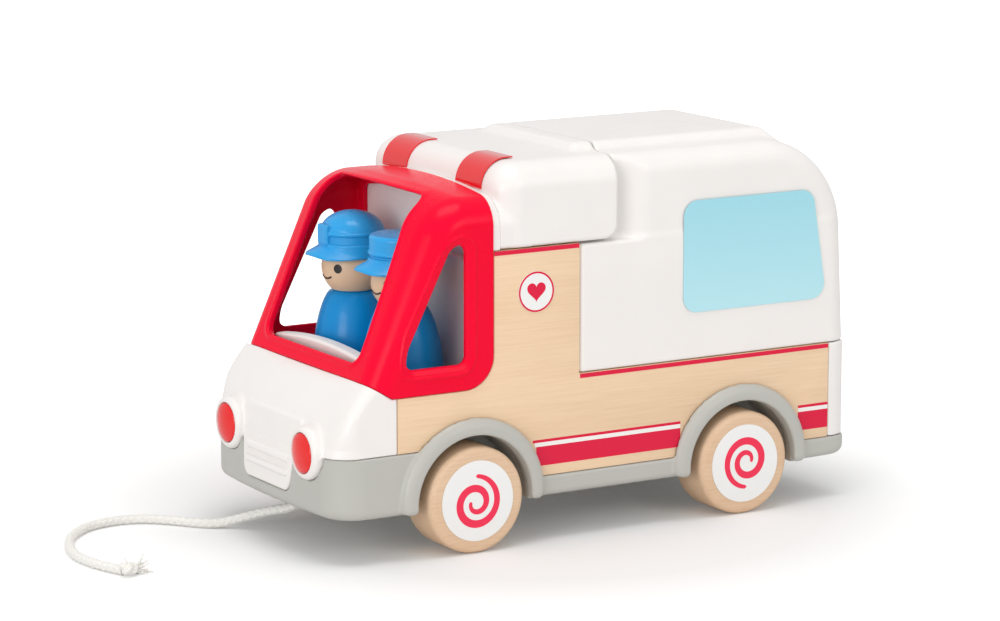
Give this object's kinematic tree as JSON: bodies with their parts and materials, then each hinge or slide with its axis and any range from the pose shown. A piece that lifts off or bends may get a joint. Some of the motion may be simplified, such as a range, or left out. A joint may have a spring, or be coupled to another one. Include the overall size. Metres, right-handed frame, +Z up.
{
  "type": "toy ambulance",
  "caption": "Pull-along toy ambulance with plywood sides, red cab, white box that slides off to the rear, fold-down tailgate and lift-out peg figures.",
  "frame": {"origin": "on the ground, at the middle of the toy's length and width without its cord", "axes": "+X to the nose, +Y to the vehicle's left side, +Z up"},
  "size_m": [0.351, 0.1257, 0.1675],
  "materials": {
    "grey_plastic": "satin",
    "white_plastic": "satin",
    "red_plastic": "satin",
    "red_label": "glossy film",
    "red_lens": "gloss",
    "plywood": "matt lacquer with printed red lines",
    "turned_wood": "matt lacquer",
    "window_label": "semi-gloss print",
    "white_label": "semi-gloss print",
    "steel": "bright",
    "blue_plastic": "gloss",
    "hat_blue": "satin",
    "cotton": "braided"
  },
  "bodies": {
    "body": {"chassis": "grey_plastic", "front_hood": "white_plastic", "cab_shell": "red_plastic", "side_panel_left": "plywood", "side_panel_right": "plywood", "bulkhead": "white_plastic", "bench_seat": "white_plastic", "cab_roof": "white_plastic", "light_strip_left": "red_label", "light_strip_right": "red_label", "headlight_lens_left": "red_lens", "headlight_lens_right": "red_lens", "rear_frame": "white_plastic", "tailgate_hinge_pin": "steel", "emblem_left": "white_label", "emblem_right": "white_label", "panel_screws": "steel", "seat_screws": "steel", "pull_cord": "cotton", "cord_end_knot": "cotton", "cord_stop_knot": "cotton"},
    "front_wheels": {"front_axle": "steel", "wheel_front_left": "turned_wood", "wheel_front_right": "turned_wood", "wheel_label_front_left": "white_label", "wheel_label_front_right": "white_label"},
    "rear_wheels": {"rear_axle": "steel", "wheel_rear_left": "turned_wood", "wheel_rear_right": "turned_wood", "wheel_label_rear_left": "white_label", "wheel_label_rear_right": "white_label"},
    "tailgate": {"tailgate": "white_plastic"},
    "box": {"sliding_box": "white_plastic", "window_label_left": "window_label", "window_label_right": "window_label"},
    "driver": {"driver_body": "blue_plastic", "driver_head": "turned_wood", "driver_cap": "hat_blue"},
    "medic": {"medic_body": "blue_plastic", "medic_head": "turned_wood", "medic_helmet": "hat_blue"}
  },
  "joints": [
    {"name": "front_wheel_spin", "type": "hinge", "parent": "body", "child": "front_wheels", "pos_m": [0.0638, 0, 0.023], "axis": [0, 1, 0], "continuous": true},
    {"name": "rear_wheel_spin", "type": "hinge", "parent": "body", "child": "rear_wheels", "pos_m": [-0.0729, 0, 0.023], "axis": [0, 1, 0], "continuous": true},
    {"name": "tailgate_fold", "type": "hinge", "parent": "body", "child": "tailgate", "pos_m": [-0.1289, 0, 0.036], "axis": [0, -1, 0], "range_deg": [0, 90]},
    {"name": "box_slide", "type": "slide", "parent": "body", "child": "box", "axis": [-1, 0, 0], "range_m": [0, 0.15]},
    {"name": "driver_lift", "type": "slide", "parent": "body", "child": "driver", "axis": [0, 0, 1], "range_m": [0, 0.006]},
    {"name": "medic_lift", "type": "slide", "parent": "body", "child": "medic", "axis": [0, 0, 1], "range_m": [0, 0.006]}
  ]
}
